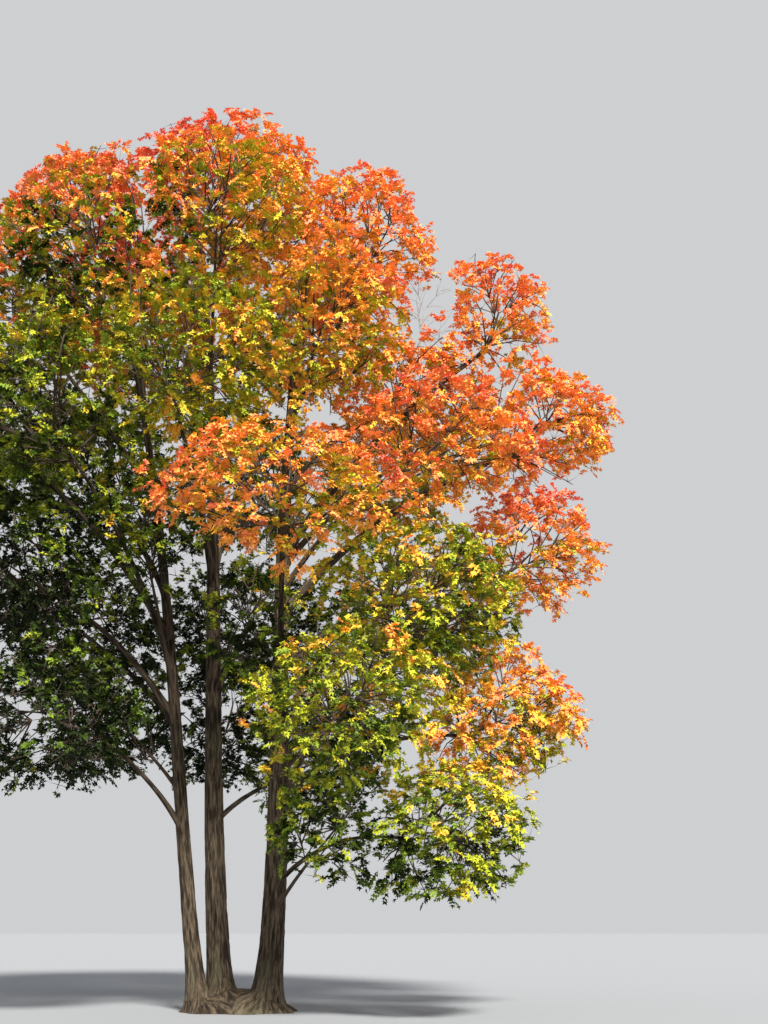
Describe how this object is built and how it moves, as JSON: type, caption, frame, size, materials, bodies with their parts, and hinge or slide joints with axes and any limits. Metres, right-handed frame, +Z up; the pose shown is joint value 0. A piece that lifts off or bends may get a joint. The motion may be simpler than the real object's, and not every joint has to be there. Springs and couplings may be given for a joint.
{
  "type": "maple tree",
  "caption": "Large autumn maple grown as a clump of tall stems from one root crown, with arching boughs and a broad domed crown turning from green to gold and orange.",
  "frame": {"origin": "middle of the root crown's flat cut at ground level", "axes": "+Z up, +X to the right of the pictured side, -Y towards the viewer of that side"},
  "size_m": [15.6884, 12.9984, 20.2547],
  "materials": {
    "bark": "rough furrowed grey-brown bark, lighter where lit",
    "dead_wood": "dry grey bare twigs",
    "leaves_orange": "thin matte autumn leaves, orange to red-orange",
    "leaves_gold": "thin matte autumn leaves, yellow-green to gold",
    "leaves_green": "thin matte leaves, still green to olive"
  },
  "bodies": {
    "root": {"root_crown": "bark", "left_stem": "bark", "middle_stem": "bark", "right_stem": "bark", "shoulder_bough": "bark", "left_fork_bough": "bark", "left_mid_bough": "bark", "left_mid_front_bough": "bark", "left_low_bough": "bark", "centre_front_bough": "bark", "lobe_top_bough": "bark", "lobe_inner_bough": "bark", "lobe_tip_bough": "bark", "lobe_front_bough": "bark", "lower_orange_bough": "bark", "band_bough": "bark", "right_low_bough": "bark", "right_skirt_bough": "bark", "front_skirt_bough": "bark", "low_right_bough": "bark", "left_skirt_bough": "bark", "top_left_leaves": "leaves_orange", "top_right_leaves": "leaves_orange", "left_shoulder_leaves": "leaves_gold", "right_shoulder_leaves": "leaves_orange", "far_left_upper_leaves": "leaves_green", "upper_left_front_leaves": "leaves_gold", "upper_front_leaves": "leaves_orange", "upper_right_front_leaves": "leaves_orange", "upper_left_back_leaves": "leaves_gold", "upper_back_leaves": "leaves_gold", "left_mid_leaves": "leaves_green", "left_mid_front_leaves": "leaves_green", "left_mid_back_leaves": "leaves_green", "centre_front_leaves": "leaves_gold", "centre_back_leaves": "leaves_green", "right_back_leaves": "leaves_gold", "lobe_top_leaves": "leaves_orange", "lobe_inner_leaves": "leaves_orange", "lobe_tip_leaves": "leaves_orange", "lobe_front_leaves": "leaves_orange", "lower_orange_leaves": "leaves_orange", "band_leaves": "leaves_gold", "left_low_leaves": "leaves_green", "right_low_leaves": "leaves_gold", "right_skirt_leaves": "leaves_gold", "front_skirt_leaves": "leaves_gold", "low_right_leaves": "leaves_green", "back_right_low_leaves": "leaves_gold", "back_low_leaves": "leaves_green", "left_back_low_leaves": "leaves_green", "left_skirt_leaves": "leaves_green", "inner_back_leaves": "leaves_green", "inner_right_leaves": "leaves_green", "inner_left_leaves": "leaves_green", "inner_upper_leaves": "leaves_green", "inner_front_leaves": "leaves_green", "low_front_leaves": "leaves_green", "back_skirt_leaves": "leaves_green", "dead_twigs": "dead_wood"}
  },
  "joints": []
}
